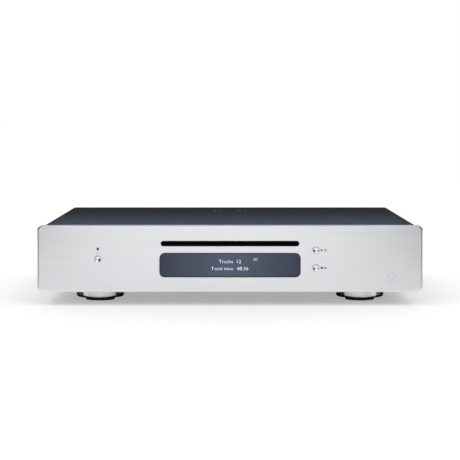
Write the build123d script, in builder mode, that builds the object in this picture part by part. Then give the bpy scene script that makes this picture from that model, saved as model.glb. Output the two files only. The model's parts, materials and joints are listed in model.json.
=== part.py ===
"""Slot-loading CD player: brushed fascia, folded steel case, floating disc drive, boards and rear sockets.

Frame: millimetres, X to the right seen from the front, Y to the rear, Z up from the shelf.
The origin is the middle of the player's footprint box, on the shelf.
Spans are written (low, high) along one axis. Places on the fascia and rear panel are (x, z).
"""

import math
import os

from build123d import *

os.makedirs("parts", exist_ok=True)

# ---- driving dimensions ----
WIDTH = 350.0
DEPTH = 329.0  # button faces to the ends of the rear jacks
HEIGHT = 73.0
PANEL_HEIGHT = 60.6
PANEL_THICK = 10.0
PANEL_CORNER = 5.0
PANEL_EDGE = 1.6  # round on the fascia's front edge
BUTTON_PROUD = 0.8
BUTTON_TRAVEL = 0.6
SHADOW_GAP = 2.0  # between the fascia and the case
SHEET = 1.5  # case steel
COVER_WIDTH = 340.0
COVER_DROP = 0.4  # cover top below the fascia top
TRAY_BOTTOM = 14.0
JACK_REACH = 9.5  # rear jacks past the rear panel

FACE_Y = -DEPTH / 2 + BUTTON_PROUD
PANEL_BACK = FACE_Y + PANEL_THICK
CASE_FRONT = PANEL_BACK + SHADOW_GAP
REAR_FACE = DEPTH / 2 - JACK_REACH
REAR_INNER = REAR_FACE - SHEET
PANEL_MID = HEIGHT - PANEL_HEIGHT / 2
COVER_TOP = HEIGHT - COVER_DROP
COVER_UNDER = COVER_TOP - SHEET
COVER_HALF = COVER_WIDTH / 2
TRAY_HALF = COVER_HALF - SHEET
TRAY_TOP = TRAY_BOTTOM + SHEET

# round fits and screws, as radii
RUNNING = 0.05  # clearance of a turning or sliding fit
LOOSE = 0.1  # clearance of a screw in a plain hole
M3, M4, M5 = 1.5, 2.0, 2.5
M3_HEAD, M3_HEAD_HEIGHT = 2.75, 1.8
SUNK_HEAD, SUNK_HEIGHT, SUNK_HOLE = 2.75, 1.25, 2.9

# fascia layers, as depths behind its face
WALL = 3.6  # fascia left in front of its rear pocket
WINDOW_RECESS = 0.5
FLANGE = 1.4
GLASS_FRONT = 5.2
BOARD_FRONT = 7.0
BOARD = 1.6

# fascia features
SLOT_LENGTH, SLOT_HEIGHT, SLOT_Z = 125.6, 4.9, 56.6
WINDOW_WIDTH, WINDOW_HEIGHT, WINDOW_Z, WINDOW_CORNER = 128.0, 22.2, 37.0, 4.9
POCKET_WIDTH, POCKET_HEIGHT, POCKET_CORNER = 266.0, 52.0, 4.0
BUTTON_PLACES = {
    "standby_button": (-120.0, 42.4),
    "play_button": (78.0, 50.7),
    "stop_button": (78.0, 34.6),
}
CAP_RADIUS = 2.8
LED_PLACE, LED_RADIUS = (-120.0, 51.8), 1.05
PANEL_FIXINGS = [(x, z) for x in (-146.0, 146.0) for z in (26.0, 60.0)]
FRONT_BOARD_SCREWS = [(x, z) for x in (-104.0, 104.0) for z in (21.5, 52.0)]
PILLAR = 3.0  # radius of board pillars and standoffs
RIBBON_X = (24.0, 44.0)  # display ribbon, from side to side

# feet
FOOT_RADIUS = 22.2
FOOT_ROUND = 2.0
FOOT_CHAMFER = 0.4
FOOT_X = 122.0
FOOT_FRONT_Y = FACE_Y + 58.5
FOOT_REAR_Y = 112.0
FOOT_BOTTOM = 3.0  # metal above the shelf
PAD_RADIUS = 13.6
PAD_SEAT = FOOT_BOTTOM + 1.0
HEAD_SEAT = PAD_SEAT + 4.0
BOLT_RECESS = 5.4
FOOT_PLACES = {
    "foot_front_left": (-FOOT_X, FOOT_FRONT_Y),
    "foot_front_right": (FOOT_X, FOOT_FRONT_Y),
    "foot_rear_left": (-FOOT_X, FOOT_REAR_Y),
    "foot_rear_right": (FOOT_X, FOOT_REAR_Y),
}

# case screws
SIDE_SCREWS = [(side, y) for side in (-1, 1) for y in (-120.0, 0.0, 125.0)]
SIDE_SCREW_Z = 21.5
TOP_SCREWS = [(x, -139.2) for x in (-84.5, 84.5)]
LIP_SCREWS = [(x, 65.6) for x in (-130.0, 0.0, 130.0)]
FLOOR_SCREWS = [(x, 147.5) for x in (-120.0, 0.0, 120.0)]
BRACKET_SCREWS = [(x, y) for x in (-93.0, 93.0) for y in (-130.0, 8.0)]

# drive
STEEL = 1.2
DISC_Y = -72.0
DISC_SEAT = 54.0  # platter top, where a disc rests
DRIVE_HALF = 73.0
DRIVE_FRONT, DRIVE_REAR = -144.0, 24.0
DRIVE_FLOOR, DRIVE_CEILING = 42.0, 63.0
FLOOR_TOP = DRIVE_FLOOR + STEEL
WALL_X = DRIVE_HALF - STEEL
DAMPERS = [(x, y) for x in (-66.5, 66.5) for y in (-92.0, 14.0)]
BRIDGE_TOP = 38.2
BRIDGE_HALF = 88.0

# disc loader, with places along the player as (y, z)
PIVOT = (-118.0, 47.0)  # roller bracket pivot
ROLLER = (-138.6, 49.1)  # roller axis with the roller dropped
BRACKET_SIDES = ((-69.0, -67.0), (67.0, 69.0))
GEAR_MODULE = 0.6
WHEEL_TEETH, PINION_TEETH = 36, 12
GEAR_X = -79.5
PULLEY_X = -77.0
PULLEY_GROOVE, PULLEY_RIM, PULLEY_WALL, PULLEY_WIDTH = 3.4, 4.4, 0.4, 2.4
BELT, BELT_WIDTH = 1.1, 1.2
LOADER_RADIUS, LOADER_LENGTH = 6.4, 21.0
MOTOR_Y = PIVOT[0] + GEAR_MODULE * (WHEEL_TEETH + PINION_TEETH) / 2 + 0.05

# pickup, clamp and their axes
TRAVERSE_Z, TRAVERSE_SHEET = 45.0, 2.0
ROD_Z = 49.3
ROD_X = 19.0
SCREW_X = -33.0
BEARING_TOP = 52.0
ARM_HINGE = (14.0, 59.0)  # clamp arm hinge, as (y, z)
ARM_LOW, ARM_HIGH = 57.9, 59.1
PUCK_LOW = 55.3
MOTOR_SHAFT = 0.75

# boards
BOARD_Z = TRAY_TOP + 6.0
BOARD_TOP = BOARD_Z + BOARD
MAIN_STANDOFFS = [(x, y) for x in (-155.0, 50.0) for y in (38.0, 136.0)]
POWER_STANDOFFS = [(x, y) for x in (107.0, 156.0) for y in (-80.0, 100.0)]
STANDOFFS = MAIN_STANDOFFS + POWER_STANDOFFS

# rear sockets
PHONO_JACKS = {
    "left_output_jack": (-134.0, 37.0),
    "right_output_jack": (-108.0, 37.0),
    "digital_output_jack": (-76.0, 37.0),
}
PHONO_HOLE = 5.2
OPTICAL = (-48.0, 33.0)
TRIGGER_JACKS = [(x, 31.0) for x in (-20.0, -2.0)]
TRIGGER_HOLE = 3.2
SERIAL = (34.0, 33.0)
SERIAL_POSTS = (-12.5, 12.5)
SWITCH = (92.0, 38.0)
ROCKER_TILT = 8.0
ROCKER_Y = REAR_FACE - 1.0
INLET = (132.0, 38.0)

X_PLUS, X_MINUS = (1, 0, 0), (-1, 0, 0)
Y_PLUS, Y_MINUS = (0, 1, 0), (0, -1, 0)
Z_PLUS, Z_MINUS = (0, 0, 1), (0, 0, -1)
CENTRED_UP = (Align.CENTER, Align.CENTER, Align.MIN)
CENTRED_DOWN = (Align.CENTER, Align.CENTER, Align.MAX)


# ---- helpers: each adds to the part that is being built ----
def upright(y, x=0.0, z=0.0):
    """Plane across the player at depth y, looking to the front. Its x is X and its y is Z."""
    return Plane(origin=(x, y, z), x_dir=X_PLUS, z_dir=Y_MINUS)


def sideways(x, y=0.0, z=0.0, tilt=0.0):
    """Plane along the player at x, looking to +X. Its x is Y and its y is Z, turned by tilt degrees."""
    along = (0, math.cos(math.radians(tilt)), math.sin(math.radians(tilt)))
    return Plane(origin=(x, y, z), x_dir=along, z_dir=X_PLUS)


def around(centre, half):
    """The span of that half-width about a centre."""
    return centre - half, centre + half


def block(x_span, y_span, z_span, mode=Mode.ADD):
    """A box given by its spans."""
    spans = (x_span, y_span, z_span)
    with Locations(tuple(sum(span) / 2 for span in spans)):
        Box(*(max(span) - min(span) for span in spans), mode=mode)


def rod(start, direction, radius, length, mode=Mode.ADD):
    """A cylinder from start along direction."""
    with Locations(Plane(origin=start, z_dir=direction)):
        Cylinder(radius, length, align=CENTRED_UP, mode=mode)


def holes(places, radius, thickness):
    """Vertical holes through a sheet, from (x, y, z) places on its underside."""
    for place in places:
        rod(place, Z_PLUS, radius, thickness, Mode.SUBTRACT)


def screw(seat, radius, length, head_radius, head_height, sunk=False):
    """A socket-head screw. seat looks outwards and lies under the head, or on the surface if it is sunk."""
    with Locations(seat):
        Cylinder(radius, length, align=CENTRED_DOWN)
        if sunk:
            Cone(radius, head_radius, head_height, align=CENTRED_DOWN)
        else:
            Cylinder(head_radius, head_height, align=CENTRED_UP)
    with BuildSketch(seat.offset(0 if sunk else head_height)) as socket:
        RegularPolygon(head_radius * 0.5, 6)
    extrude(socket.sketch, amount=-0.7 * head_height, mode=Mode.SUBTRACT)


def save(builder, name):
    """Labels a finished piece and writes its STEP file."""
    builder.part.label = name
    export_step(builder.part, f"parts/{name}.step")


def gear_points(teeth, turn=0.0, backlash=0.14):
    """Points of an involute gear outline with 20 degree teeth, each flank sampled at four radii.

    turn is the first tooth's angle, in teeth.
    """
    pressure_angle = math.radians(20)
    pitch = GEAR_MODULE * teeth / 2
    base = pitch * math.cos(pressure_angle)
    root, tip = pitch - 1.2 * GEAR_MODULE, pitch + 0.85 * GEAR_MODULE
    half_tooth = (math.pi * GEAR_MODULE / 2 - backlash) / (2 * pitch)
    involute = math.tan(pressure_angle) - pressure_angle

    def half_angle(radius):
        pressure = math.acos(min(1.0, base / radius))
        return half_tooth + involute - (math.tan(pressure) - pressure)

    start = max(base, root)
    radii = [start + (tip - start) * step / 3 for step in range(4)]
    flank = [(root, half_angle(start))] + [(radius, half_angle(radius)) for radius in radii]
    points = []
    for tooth in range(teeth):
        middle = 2 * math.pi * (tooth + turn) / teeth
        sides = [(r, middle - a) for r, a in flank] + [(r, middle + a) for r, a in reversed(flank)]
        points += [(r * math.cos(angle), r * math.sin(angle)) for r, angle in sides]
    return points


# ---- fascia ----
with BuildPart() as front_panel:
    with BuildSketch(upright(PANEL_BACK, z=PANEL_MID)):
        RectangleRounded(WIDTH, PANEL_HEIGHT, PANEL_CORNER)
    extrude(amount=PANEL_THICK)
    fillet(faces().sort_by(Axis.Y)[0].edges(), PANEL_EDGE)
    # rear pocket, with four pillars for the front board
    with BuildSketch(upright(PANEL_BACK, z=PANEL_MID)):
        RectangleRounded(POCKET_WIDTH, POCKET_HEIGHT, POCKET_CORNER)
    extrude(amount=PANEL_THICK - WALL, mode=Mode.SUBTRACT)
    for x, z in FRONT_BOARD_SCREWS:
        rod((x, FACE_Y + WALL, z), Y_PLUS, PILLAR, BOARD_FRONT - WALL)
        rod((x, FACE_Y + WALL, z), Y_PLUS, M3 + RUNNING, BOARD_FRONT - WALL, Mode.SUBTRACT)
    # disc slot, display window, button bores and status light
    with BuildSketch(upright(PANEL_BACK)):
        with Locations((0, SLOT_Z)):
            SlotOverall(SLOT_LENGTH, SLOT_HEIGHT)
        with Locations((0, WINDOW_Z)):
            RectangleRounded(WINDOW_WIDTH, WINDOW_HEIGHT, WINDOW_CORNER)
        with Locations(*BUTTON_PLACES.values()):
            Circle(CAP_RADIUS + 0.15)
        with Locations(LED_PLACE):
            Circle(LED_RADIUS + RUNNING)
    extrude(amount=PANEL_THICK, mode=Mode.SUBTRACT)
    openings = faces().sort_by(Axis.Y)[0].inner_wires()
    chamfer([edge for wire in openings for edge in wire.edges()], 0.25)
    fixing_depth = 7.0
    for x, z in PANEL_FIXINGS:
        rod((x, PANEL_BACK, z), Y_MINUS, M4 + RUNNING, fixing_depth, Mode.SUBTRACT)
save(front_panel, "front_panel")

with BuildPart() as display_window:
    gap = 0.15
    with BuildSketch(upright(FACE_Y + WALL, z=WINDOW_Z)):
        RectangleRounded(WINDOW_WIDTH - 2 * gap, WINDOW_HEIGHT - 2 * gap, WINDOW_CORNER - gap)
    extrude(amount=WALL - WINDOW_RECESS)
    fillet(faces().sort_by(Axis.Y)[0].edges(), 0.2)
    # flange behind the fascia
    with BuildSketch(upright(FACE_Y + WALL, z=WINDOW_Z)):
        RectangleRounded(WINDOW_WIDTH + 5, WINDOW_HEIGHT + 4, WINDOW_CORNER)
    extrude(amount=-FLANGE)
save(display_window, "display_window")

GLASS_HALF_WIDTH = 52.0
GLASS_Z = (27.0, 47.4)
with BuildPart() as display_panel:
    block(around(0, GLASS_HALF_WIDTH), (FACE_Y + GLASS_FRONT, FACE_Y + BOARD_FRONT), GLASS_Z)
save(display_panel, "display_panel")

FRONT_BOARD_HALF = 129.0
FRONT_BOARD_Z = (17.5, 55.5)
TUNNEL_NOTCH = (51.2, 56.0)  # board cut away under the slot's tunnel
RECEIVER_X, RECEIVER_Z = (-61.5, -55.0), (33.0, 39.0)
KEY_HALF, KEY_DEPTH = 2.3, 1.6
PLUNGER_RADIUS = 1.25
with BuildPart() as front_board:
    front, back = FACE_Y + BOARD_FRONT, FACE_Y + BOARD_FRONT + BOARD
    block(around(0, FRONT_BOARD_HALF), (front, back), FRONT_BOARD_Z)
    block(around(0, 68), (front, back), TUNNEL_NOTCH, Mode.SUBTRACT)
    for x, z in FRONT_BOARD_SCREWS:
        rod((x, front, z), Y_PLUS, M3 + LOOSE, BOARD, Mode.SUBTRACT)
    # ribbon connector, remote control receiver and status light emitter
    block((RIBBON_X[0] - 2, RIBBON_X[1] + 2), (back, back + 3), (21, 25))
    block(RECEIVER_X, (front - 1.6, front), RECEIVER_Z)
    block(around(LED_PLACE[0], 1.2), (front - 0.8, front), around(LED_PLACE[1], 0.8))
    # key switches
    for x, z in BUTTON_PLACES.values():
        block(around(x, KEY_HALF), (front - KEY_DEPTH, front), around(z, KEY_HALF))
        rod((x, front - KEY_DEPTH, z), Y_PLUS, PLUNGER_RADIUS, 1.5, Mode.SUBTRACT)
save(front_board, "front_board")

with BuildPart() as led_lens:
    x, z = LED_PLACE
    sunk = 0.2
    rod((x, FACE_Y + sunk, z), Y_PLUS, LED_RADIUS, WALL - sunk)
    rod((x, FACE_Y + WALL, z), Y_PLUS, 1.8, 2.4)
save(led_lens, "led_lens")

DISH_RADIUS, DISH_DEPTH = 8.5, 0.4  # spherical hollow in a button's face
COLLAR, COLLAR_THICK = 3.9, 0.9
for name, (x, z) in BUTTON_PLACES.items():
    with BuildPart() as button:
        rod((x, FACE_Y - BUTTON_PROUD, z), Y_PLUS, CAP_RADIUS, WALL + BUTTON_PROUD)
        fillet(faces().sort_by(Axis.Y)[0].edges(), 0.3)
        with Locations((x, FACE_Y - BUTTON_PROUD + DISH_DEPTH - DISH_RADIUS, z)):
            Sphere(DISH_RADIUS, mode=Mode.SUBTRACT)
        rod((x, FACE_Y + WALL, z), Y_PLUS, COLLAR, COLLAR_THICK)
        rod((x, FACE_Y + WALL + COLLAR_THICK, z), Y_PLUS, PLUNGER_RADIUS - LOOSE, 1.6)
    save(button, name)

TUNNEL_LENGTH = DRIVE_FRONT - 1 - FACE_Y - WALL
TUNNEL_WIDTH, TUNNEL_HEIGHT = 125.0, 5.1  # clear inside
with BuildPart() as slot_bezel:
    # black tunnel that carries the disc from the fascia to the drive
    mouth = upright(FACE_Y + WALL, z=SLOT_Z)
    with BuildSketch(mouth):
        RectangleRounded(TUNNEL_WIDTH + 8, TUNNEL_HEIGHT + 4.5, 1.5)
    extrude(amount=-2.0)
    with BuildSketch(mouth):
        RectangleRounded(TUNNEL_WIDTH + 3, TUNNEL_HEIGHT + 2.5, 1)
    extrude(amount=-TUNNEL_LENGTH)
    with BuildSketch(mouth):
        Rectangle(TUNNEL_WIDTH, TUNNEL_HEIGHT)
    extrude(amount=-TUNNEL_LENGTH, mode=Mode.SUBTRACT)
save(slot_bezel, "slot_bezel")

FELT = 0.3  # backing glued to the tunnel
LIP_GAP = 0.4  # between the two wiping lips, at rest
LIP_THICK = 1.4
with BuildPart() as slot_felts:
    start = FACE_Y + WALL + 0.4
    for side in (-1, 1):
        wall = SLOT_Z + side * TUNNEL_HEIGHT / 2
        backing = (wall, wall - side * FELT)
        lip = (wall, SLOT_Z + side * LIP_GAP / 2)
        block(around(0, 62), (start, DRIVE_FRONT - 2), backing)
        block(around(0, 62.3), (start, start + LIP_THICK), lip)
save(slot_felts, "slot_felts")

with BuildPart() as panel_fixings:
    # spacers in the shadow gap, and screws from inside the case
    for x, z in PANEL_FIXINGS:
        rod((x, PANEL_BACK, z), Y_PLUS, 5.0, SHADOW_GAP)
        rod((x, PANEL_BACK, z), Y_PLUS, M4 + 2 * LOOSE, SHADOW_GAP, Mode.SUBTRACT)
        seat = Plane(origin=(x, CASE_FRONT + SHEET, z), z_dir=Y_PLUS)
        screw(seat, M4, 9.5, 3.8, 2.6)
save(panel_fixings, "panel_fixings")

# ---- case ----
FLANGE_TOP = 29.0
RAIL_HALF, RAIL_DEPTH = 155.0, 22.0  # folded rail that the cover's front rests on
COOLING_PITCH, COOLING_ROW = 9.0, 34.0
with BuildPart() as chassis_tray:
    front_wall = (CASE_FRONT, CASE_FRONT + SHEET)
    block(around(0, TRAY_HALF), (CASE_FRONT, REAR_INNER), (TRAY_BOTTOM, TRAY_TOP))
    block(around(0, TRAY_HALF), front_wall, (TRAY_BOTTOM, COVER_UNDER))
    block(around(0, RAIL_HALF), (CASE_FRONT, CASE_FRONT + RAIL_DEPTH), (COVER_UNDER - SHEET, COVER_UNDER))
    for side in (-1, 1):
        side_flange = (side * (TRAY_HALF - SHEET), side * TRAY_HALF)
        block(side_flange, (CASE_FRONT, REAR_INNER), (TRAY_BOTTOM, FLANGE_TOP))
    # openings in the front wall: disc tunnel, ribbon and fascia screws
    block(around(0, TUNNEL_WIDTH / 2 + 3.5), front_wall, around(SLOT_Z, 5.5), Mode.SUBTRACT)
    block((RIBBON_X[0] - 6, RIBBON_X[1] + 6), front_wall, (18, 28), Mode.SUBTRACT)
    for x, z in PANEL_FIXINGS:
        rod((x, CASE_FRONT, z), Y_PLUS, M4 + 2 * LOOSE, SHEET, Mode.SUBTRACT)
    # screw holes in the flanges, rail and floor
    for side, y in SIDE_SCREWS:
        rod((side * TRAY_HALF, y, SIDE_SCREW_Z), (-side, 0, 0), M3 + RUNNING, SHEET, Mode.SUBTRACT)
    holes([(x, y, COVER_UNDER - SHEET) for x, y in TOP_SCREWS], M3 + RUNNING, SHEET)
    holes([(x, y, TRAY_BOTTOM) for x, y in FOOT_PLACES.values()], M5 + 2 * LOOSE, SHEET)
    holes([(x, y, TRAY_BOTTOM) for x, y in BRACKET_SCREWS], M3 + RUNNING, SHEET)
    holes([(x, y, TRAY_BOTTOM) for x, y in FLOOR_SCREWS], M3 + LOOSE, SHEET)
    with Locations(*[(x, y, TRAY_BOTTOM) for x, y in FLOOR_SCREWS]):
        Cone(SUNK_HOLE, M3, 1.4, align=CENTRED_UP, mode=Mode.SUBTRACT)
    # cooling slots under the boards
    with BuildSketch(Plane.XY.offset(TRAY_BOTTOM)):
        with Locations((-60, 85), (118, 15)):
            with GridLocations(COOLING_PITCH, COOLING_ROW, 7, 2):
                SlotOverall(26, 3.2, rotation=90)
    extrude(amount=SHEET, mode=Mode.SUBTRACT)
save(chassis_tray, "chassis_tray")

LIP_BOTTOM = 60.5  # rear lip of the cover
VENT_X, VENT_Y = 12.7, 81.0
VENT_PITCH, VENT_LENGTH, VENT_WIDTH = 5.8, 34.0, 3.0
with BuildPart() as top_cover:
    block(around(0, COVER_HALF), (CASE_FRONT, REAR_FACE + SHEET), (TRAY_BOTTOM, COVER_TOP))
    fillet(edges().filter_by(Axis.Y).group_by(Axis.Z)[-1], 2.0)
    fillet(edges().filter_by(Axis.X).group_by(Axis.Z)[-1].sort_by(Axis.Y)[-1], 1.2)
    block(around(0, TRAY_HALF), (CASE_FRONT, REAR_FACE), (TRAY_BOTTOM, COVER_UNDER), Mode.SUBTRACT)
    # only a lip is left of the rear
    block(around(0, COVER_HALF), (REAR_FACE, REAR_FACE + SHEET), (TRAY_BOTTOM, LIP_BOTTOM), Mode.SUBTRACT)
    # countersunk holes
    seats = [Plane(origin=(x, y, COVER_TOP), z_dir=Z_PLUS) for x, y in TOP_SCREWS]
    seats += [Plane(origin=(s * COVER_HALF, y, SIDE_SCREW_Z), z_dir=(s, 0, 0)) for s, y in SIDE_SCREWS]
    seats += [Plane(origin=(x, REAR_FACE + SHEET, z), z_dir=Y_PLUS) for x, z in LIP_SCREWS]
    with Locations(*seats):
        CounterSinkHole(M3 + LOOSE, SUNK_HOLE, depth=SHEET)
    # two pairs of cooling slots in the rear half
    with BuildSketch(Plane.XY.offset(COVER_TOP)):
        with Locations((-VENT_X, VENT_Y), (VENT_X, VENT_Y)):
            with GridLocations(VENT_PITCH, 1, 2, 1):
                SlotOverall(VENT_LENGTH, VENT_WIDTH, rotation=90)
    extrude(amount=-SHEET, mode=Mode.SUBTRACT)
save(top_cover, "top_cover")

FOLD = 12.0  # depth of the rear panel's bottom flange
SIDE_FOLD = 10.0
with BuildPart() as rear_panel:
    plate = TRAY_HALF - LOOSE
    block(around(0, plate), (REAR_INNER, REAR_FACE), (TRAY_BOTTOM, COVER_UNDER))
    half = plate - SHEET
    block(around(0, half), (REAR_INNER - FOLD, REAR_FACE), (TRAY_TOP, TRAY_TOP + SHEET))
    for side in (-1, 1):
        fold = (side * (half - SHEET), side * half)
        block(fold, (REAR_INNER - SIDE_FOLD, REAR_FACE), (TRAY_TOP, COVER_UNDER))
    holes([(x, y, TRAY_TOP) for x, y in FLOOR_SCREWS], M3 + RUNNING, SHEET)
    # cut-outs for the sockets and switch
    with BuildSketch(upright(REAR_INNER)):
        with Locations(*LIP_SCREWS):
            Circle(M3 + RUNNING)
        with Locations(*PHONO_JACKS.values()):
            Circle(PHONO_HOLE)
        with Locations(OPTICAL):
            Rectangle(13.4, 13.4)
        with Locations(*TRIGGER_JACKS):
            Circle(TRIGGER_HOLE)
        with Locations(SERIAL):
            Rectangle(20.5, 11.5)
        with Locations(*[(SERIAL[0] + dx, SERIAL[1]) for dx in SERIAL_POSTS]):
            Circle(1.7)
        with Locations(SWITCH):
            Rectangle(13.2, 19.2)
        with Locations(INLET):
            Rectangle(28.2, 20.6)
    extrude(amount=-SHEET, mode=Mode.SUBTRACT)
save(rear_panel, "rear_panel")

with BuildPart() as case_screws:
    seats += [Plane(origin=(x, y, TRAY_BOTTOM), z_dir=Z_MINUS) for x, y in FLOOR_SCREWS]
    for seat in seats:
        screw(seat.offset(-LOOSE), M3, 6.0, SUNK_HEAD, SUNK_HEIGHT, sunk=True)
save(case_screws, "case_screws")

# ---- feet ----
for name, (x, y) in FOOT_PLACES.items():
    with BuildPart() as foot:
        with BuildSketch(upright(y, x=x)):
            with BuildLine():
                turn = FOOT_ROUND * (1 - math.sqrt(0.5))
                Polyline(
                    (M5 + 2 * LOOSE, HEAD_SEAT),
                    (M5 + 2 * LOOSE, TRAY_BOTTOM),
                    (FOOT_RADIUS - FOOT_CHAMFER, TRAY_BOTTOM),
                    (FOOT_RADIUS, TRAY_BOTTOM - FOOT_CHAMFER),
                    (FOOT_RADIUS, FOOT_BOTTOM + FOOT_ROUND),
                )
                ThreePointArc(
                    (FOOT_RADIUS, FOOT_BOTTOM + FOOT_ROUND),
                    (FOOT_RADIUS - turn, FOOT_BOTTOM + turn),
                    (FOOT_RADIUS - FOOT_ROUND, FOOT_BOTTOM),
                )
                Polyline(
                    (FOOT_RADIUS - FOOT_ROUND, FOOT_BOTTOM),
                    (PAD_RADIUS + 2 * LOOSE, FOOT_BOTTOM),
                    (PAD_RADIUS + 2 * LOOSE, PAD_SEAT),
                    (BOLT_RECESS, PAD_SEAT),
                    (BOLT_RECESS, HEAD_SEAT),
                    (M5 + 2 * LOOSE, HEAD_SEAT),
                )
            make_face()
        revolve(axis=Axis((x, y, 0), Z_PLUS))
    save(foot, name)

with BuildPart() as foot_pads:
    for x, y in FOOT_PLACES.values():
        rod((x, y, 0), Z_PLUS, PAD_RADIUS, PAD_SEAT)
    fillet(faces().filter_by(Axis.Z).group_by(Axis.Z)[0].edges(), 0.6)
save(foot_pads, "foot_pads")

with BuildPart() as foot_fixings:
    for x, y in FOOT_PLACES.values():
        screw(Plane(origin=(x, y, HEAD_SEAT), z_dir=Z_MINUS), M5, 12.0, 4.6, 3.4)
        with BuildSketch(Plane.XY.offset(TRAY_TOP)) as nut:
            with Locations((x, y)):
                RegularPolygon(4.0, 6, major_radius=False)
                Circle(M5 + RUNNING, mode=Mode.SUBTRACT)
        extrude(nut.sketch, amount=4.0)
save(foot_fixings, "foot_fixings")

# ---- drive carrier ----
BRIDGE_Y = (-140.0, 22.0)
BRIDGE_FOOT = 98.0
LEG_WINDOWS = ((-110.0, -80.0), (-40.0, -10.0))  # as y spans
with BuildPart() as drive_bracket:
    top_sheet = (BRIDGE_TOP - STEEL, BRIDGE_TOP)
    block(around(0, BRIDGE_HALF), BRIDGE_Y, top_sheet)
    for side in (-1, 1):
        inner = side * (BRIDGE_HALF - STEEL)
        block((inner, side * BRIDGE_HALF), BRIDGE_Y, (TRAY_TOP, BRIDGE_TOP))
        block((inner, side * BRIDGE_FOOT), BRIDGE_Y, (TRAY_TOP, TRAY_TOP + STEEL))
    block(around(0, 58), (-125, 5), top_sheet, Mode.SUBTRACT)
    # clearance for the loading gears
    block((GEAR_X - 3.5, PULLEY_X + 4), (-131, -94), top_sheet, Mode.SUBTRACT)
    for y_span in LEG_WINDOWS:
        block(around(0, BRIDGE_HALF + 2), y_span, (21, 32), Mode.SUBTRACT)
    holes([(x, y, TRAY_TOP) for x, y in BRACKET_SCREWS], M3 + LOOSE, STEEL)
    holes([(x, y, BRIDGE_TOP - STEEL) for x, y in DAMPERS], M3 + RUNNING, STEEL)
save(drive_bracket, "drive_bracket")

with BuildPart() as drive_dampers:
    for x, y in DAMPERS:
        rod((x, y, BRIDGE_TOP), Z_PLUS, 4.6, DRIVE_FLOOR - BRIDGE_TOP)
    holes([(x, y, BRIDGE_TOP) for x, y in DAMPERS], M3 + LOOSE, DRIVE_FLOOR - BRIDGE_TOP)
save(drive_dampers, "drive_dampers")

# ---- disc drive ----
with BuildPart() as drive_base:
    length = (DRIVE_FRONT, DRIVE_REAR)
    height = (DRIVE_FLOOR, DRIVE_CEILING)
    floor = (DRIVE_FLOOR, FLOOR_TOP)
    block(around(0, DRIVE_HALF), length, floor)
    for side in (-1, 1):
        block((side * WALL_X, side * DRIVE_HALF), length, height)
    block(around(0, DRIVE_HALF), (DRIVE_REAR - STEEL, DRIVE_REAR), height)
    # room for the optical unit and the loading motor
    block(around(0, 38), (-86, 12), floor, Mode.SUBTRACT)
    block((-WALL_X, -48.5), around(MOTOR_Y, 8), floor, Mode.SUBTRACT)
    # bracket pivot holes, motor shaft hole and the slot that the roller shaft travels in
    for side in (-1, 1):
        rod((side * DRIVE_HALF, *PIVOT), (-side, 0, 0), M3 + RUNNING, STEEL, Mode.SUBTRACT)
    rod((-DRIVE_HALF, MOTOR_Y, PIVOT[1]), X_PLUS, 2.0, STEEL, Mode.SUBTRACT)
    with BuildSketch(sideways(-DRIVE_HALF)):
        with Locations((ROLLER[0] + 0.2, ROLLER[1] + 1.7)):
            SlotOverall(8.6, 4.8, rotation=85)
    extrude(amount=STEEL, mode=Mode.SUBTRACT)
    holes([(x, y, DRIVE_FLOOR) for x, y in DAMPERS], M3 + LOOSE, STEEL)
save(drive_base, "drive_base")

LUG_X, LUG_WIDTH = 31.0, 4.0
HINGE_PIN = 1.25
with BuildPart() as drive_top:
    block(around(0, DRIVE_HALF), (DRIVE_FRONT, DRIVE_REAR), (DRIVE_CEILING, DRIVE_CEILING + STEEL))
    holes([(0, DISC_Y, DRIVE_CEILING)], 20, STEEL)
    # hinge lugs of the clamp arm
    for side in (-1, 1):
        lug = (side * LUG_X, side * (LUG_X + LUG_WIDTH))
        block(lug, around(ARM_HINGE[0], 4), (ARM_HINGE[1] - 3.5, DRIVE_CEILING))
        rod((side * LUG_X, *ARM_HINGE), (side, 0, 0), HINGE_PIN + RUNNING, LUG_WIDTH, Mode.SUBTRACT)
save(drive_top, "drive_top")

with BuildPart() as disc_guide:
    block(around(0, 64), (DRIVE_FRONT + 1, DRIVE_FRONT + 12), (57.4, DRIVE_CEILING))
    chamfer(edges().filter_by(Axis.X).group_by(Axis.Z)[0], 0.8)
save(disc_guide, "disc_guide")

TRAVERSE_HALF = 48.0
TRAVERSE_Y = (-96.0, 21.5)
ROD_BEARINGS = ((-59.0, -56.0), (10.0, 13.0))  # as y spans
SCREW_BEARING = (-61.0, -58.0)
with BuildPart() as traverse_frame:
    sheet = (TRAVERSE_Z, TRAVERSE_Z + TRAVERSE_SHEET)
    block(around(0, TRAVERSE_HALF), TRAVERSE_Y, sheet)
    # openings for the optical unit and the sled motor
    block(around(0, 17), (-56, 4), sheet, Mode.SUBTRACT)
    block(around(SCREW_X, 7), (9.4, 22), sheet, Mode.SUBTRACT)
    # bearing blocks
    for x in (-ROD_X, ROD_X):
        for y_span in ROD_BEARINGS:
            block(around(x, 3), y_span, (TRAVERSE_Z, BEARING_TOP))
        rod((x, -58, ROD_Z), Y_PLUS, M3 + RUNNING, 70, Mode.SUBTRACT)
    block(around(SCREW_X, 3), SCREW_BEARING, (TRAVERSE_Z, BEARING_TOP))
    rod((SCREW_X, SCREW_BEARING[0], ROD_Z), Y_PLUS, MOTOR_SHAFT + RUNNING, 3, Mode.SUBTRACT)
    # feet on the drive floor
    for x in (-43, 43):
        for y in (-91, 16):
            rod((x, y, FLOOR_TOP), Z_PLUS, PILLAR, TRAVERSE_Z - FLOOR_TOP)
save(traverse_frame, "traverse_frame")

with BuildPart() as guide_rods:
    for x in (-ROD_X, ROD_X):
        rod((x, -57.9, ROD_Z), Y_PLUS, M3, 69.8)
save(guide_rods, "guide_rods")

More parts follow.
